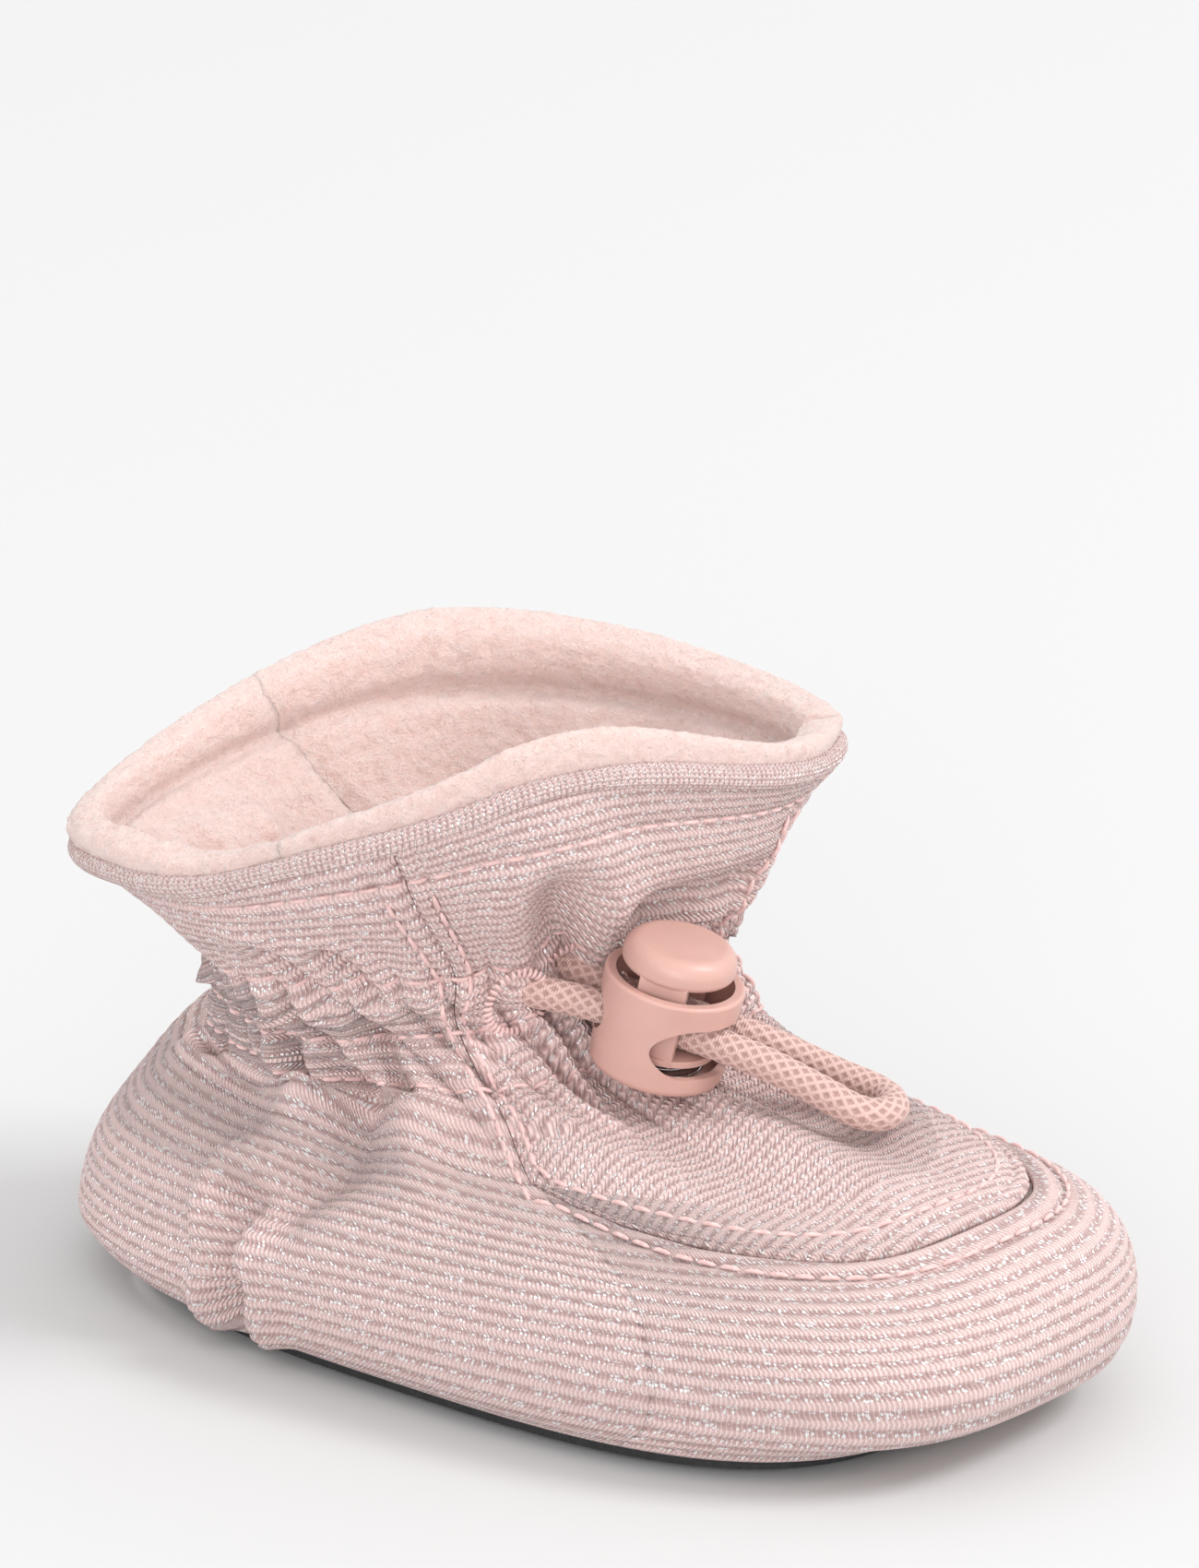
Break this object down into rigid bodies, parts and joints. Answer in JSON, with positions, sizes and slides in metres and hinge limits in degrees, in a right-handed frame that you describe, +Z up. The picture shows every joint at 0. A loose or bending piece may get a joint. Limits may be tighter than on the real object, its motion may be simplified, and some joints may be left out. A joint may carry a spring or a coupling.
{
  "type": "baby bootie",
  "caption": "Soft fleece-lined baby bootie with a flared shaft gathered at the ankle by a drawcord and push-button cord lock, on a dotted rubber sole.",
  "frame": {"origin": "on the ground plane under the middle of the sole, at the bottom of the centre grip stud", "axes": "+X towards the toe, +Z up, +Y to the bootie's left side"},
  "size_m": [0.1174, 0.068, 0.0618],
  "materials": {
    "outer_knit": "ribbed jersey with silver lurex yarn",
    "fleece": "soft brushed fleece",
    "sole_rubber": "matt, dotted",
    "padding": "needled felt",
    "cord_braid": "round tubular braid",
    "lock_plastic": "satin moulded",
    "spring_steel": "bright wire",
    "thread": "spun polyester",
    "elastic": "woven elastic"
  },
  "bodies": {
    "bootie": {"outsole": "sole_rubber", "sole_padding": "padding", "insole_fleece": "fleece", "side_wall_wrap": "outer_knit", "vamp_front_panel": "outer_knit", "rim_binding": "outer_knit", "lining_front": "fleece", "lining_near_side": "fleece", "lining_far_side": "fleece", "ankle_elastic": "elastic", "drawcord_channel_run": "cord_braid", "drawcord_loop": "cord_braid", "cord_buttonholes": "thread", "rim_topstitch": "thread", "casing_stitch_upper": "thread", "casing_stitch_middle": "thread", "casing_stitch_lower": "thread", "vamp_stitch_inner": "thread", "vamp_stitch_outer": "thread", "heel_stitch_near": "thread", "heel_stitch_far": "thread"},
    "cord_lock": {"cord_lock_body": "lock_plastic", "cord_lock_spring": "spring_steel"},
    "lock_button": {"cord_lock_button": "lock_plastic"}
  },
  "joints": [
    {"name": "cord_lock_slide", "type": "slide", "parent": "bootie", "child": "cord_lock", "axis": [0.8902, 0.3961, -0.2251], "range_m": [0, 0.004]},
    {"name": "lock_button_press", "type": "slide", "parent": "cord_lock", "child": "lock_button", "axis": [-0.2244, -0.0487, -0.9733], "range_m": [0, 0.0015], "stiffness_N_per_m": 150, "springref_m": -0.001, "deforming": ["cord_lock_spring"]}
  ]
}
